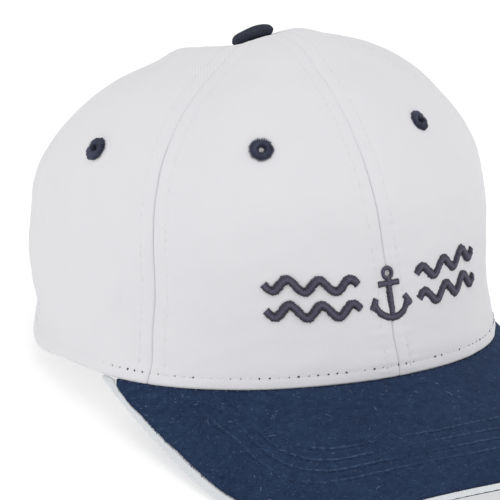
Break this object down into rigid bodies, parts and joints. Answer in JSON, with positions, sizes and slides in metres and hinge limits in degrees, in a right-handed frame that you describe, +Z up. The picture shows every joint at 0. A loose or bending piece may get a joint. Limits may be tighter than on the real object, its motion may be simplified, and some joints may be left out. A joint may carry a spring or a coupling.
{
  "type": "six-panel peaked cap",
  "caption": "Soft sewn cap with a domed white crown, an arched navy peak with a white edge strip, vent eyelets, a top button and a strap across its rear opening.",
  "frame": {"origin": "centre of the footprint box, on the surface that the cap stands on", "axes": "+Z up, -Y the way the peak points, -X the wearer's right"},
  "size_m": [0.1766, 0.2676, 0.1302],
  "materials": {
    "crown_cloth": "white cotton twill, matt, with double-needle seams",
    "peak_cloth": "navy brushed cotton twill, matt, with lint and stitched rows",
    "trim_cloth": "white cotton twill strip, folded",
    "band_cloth": "white cotton sweatband, matt",
    "eyelet_thread": "dark navy thread in close radial stitches",
    "button_cloth": "dark navy twill pulled over a round button",
    "motif_thread": "raised satin stitch in dark blue-grey thread, soft sheen"
  },
  "bodies": {
    "root": {"front_panel_right": "crown_cloth", "front_panel_left": "crown_cloth", "side_panel_right": "crown_cloth", "side_panel_left": "crown_cloth", "back_panel_right": "crown_cloth", "back_panel_left": "crown_cloth", "eyelet_front_right": "eyelet_thread", "eyelet_front_left": "eyelet_thread", "eyelet_side_right": "eyelet_thread", "eyelet_side_left": "eyelet_thread", "eyelet_back_right": "eyelet_thread", "eyelet_back_left": "eyelet_thread", "top_button": "button_cloth", "peak_top_cover": "peak_cloth", "peak_under_cover": "peak_cloth", "peak_edge_trim": "trim_cloth", "sweatband": "band_cloth", "back_strap": "crown_cloth", "front_anchor": "motif_thread", "front_wave_upper_right": "motif_thread", "front_wave_lower_right": "motif_thread", "front_wave_upper_left": "motif_thread", "front_wave_lower_left": "motif_thread"}
  },
  "joints": []
}
